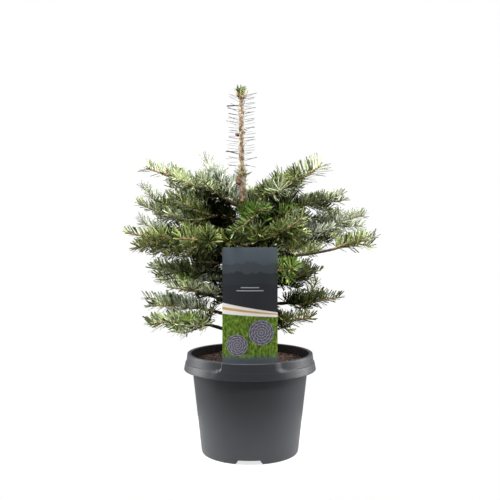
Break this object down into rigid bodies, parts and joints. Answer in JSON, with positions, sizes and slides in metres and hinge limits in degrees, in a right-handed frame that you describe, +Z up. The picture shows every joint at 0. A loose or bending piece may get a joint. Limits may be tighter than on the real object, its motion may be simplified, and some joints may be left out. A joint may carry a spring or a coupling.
{
  "type": "potted korean fir",
  "caption": "Young conifer with loose whorls of needle-covered boughs and a bare upright leader, standing in a round nursery pot of soil with a curved card label.",
  "frame": {"origin": "centre of the pot's flat underside", "axes": "+Z up along the pot's axis, -Y towards the label on the front, +X to the right seen from the front"},
  "size_m": [0.3654, 0.2711, 0.5259],
  "materials": {
    "pot_plastic": "matt anthracite moulded plastic",
    "label_card": "satin printed plastic card",
    "potting_soil": "loose dark potting soil",
    "bark": "tan-brown young bark with leaf scars",
    "needles": "green needles with silvery undersides"
  },
  "bodies": {
    "root": {"pot": "pot_plastic", "label": "label_card", "soil": "potting_soil", "trunk": "bark", "bough_top_left": "bark", "bough_top_rear_left": "bark", "bough_top_rear": "bark", "bough_top_right_rear": "bark", "bough_top_right": "bark", "bough_top_front": "bark", "bough_mid_left": "bark", "bough_mid_left_rear": "bark", "bough_mid_front_left": "bark", "bough_mid_front_right": "bark", "bough_mid_right": "bark", "bough_mid_right_rear": "bark", "bough_mid_rear_right": "bark", "bough_mid_rear_left": "bark", "bough_low_left": "bark", "bough_low_front_left": "bark", "bough_low_front_right": "bark", "bough_low_right": "bark", "bough_low_rear_right": "bark", "bough_low_rear_left": "bark", "bough_foot_left": "bark", "bough_foot_front_left": "bark", "bough_foot_right": "bark", "bough_foot_rear": "bark", "needles_top_left": "needles", "needles_top_rear_left": "needles", "needles_top_rear": "needles", "needles_top_right_rear": "needles", "needles_top_right": "needles", "needles_top_front": "needles", "needles_mid_left": "needles", "needles_mid_left_rear": "needles", "needles_mid_front_left": "needles", "needles_mid_front_right": "needles", "needles_mid_right": "needles", "needles_mid_right_rear": "needles", "needles_mid_rear_right": "needles", "needles_mid_rear_left": "needles", "needles_low_left": "needles", "needles_low_front_left": "needles", "needles_low_front_right": "needles", "needles_low_right": "needles", "needles_low_rear_right": "needles", "needles_low_rear_left": "needles", "needles_foot_left": "needles", "needles_foot_front_left": "needles", "needles_foot_right": "needles", "needles_foot_rear": "needles", "needles_inner_top_left": "needles", "needles_inner_top_right": "needles", "needles_inner_left": "needles", "needles_inner_right": "needles", "needles_inner_rear": "needles", "needles_inner_low_left": "needles"}
  },
  "joints": []
}
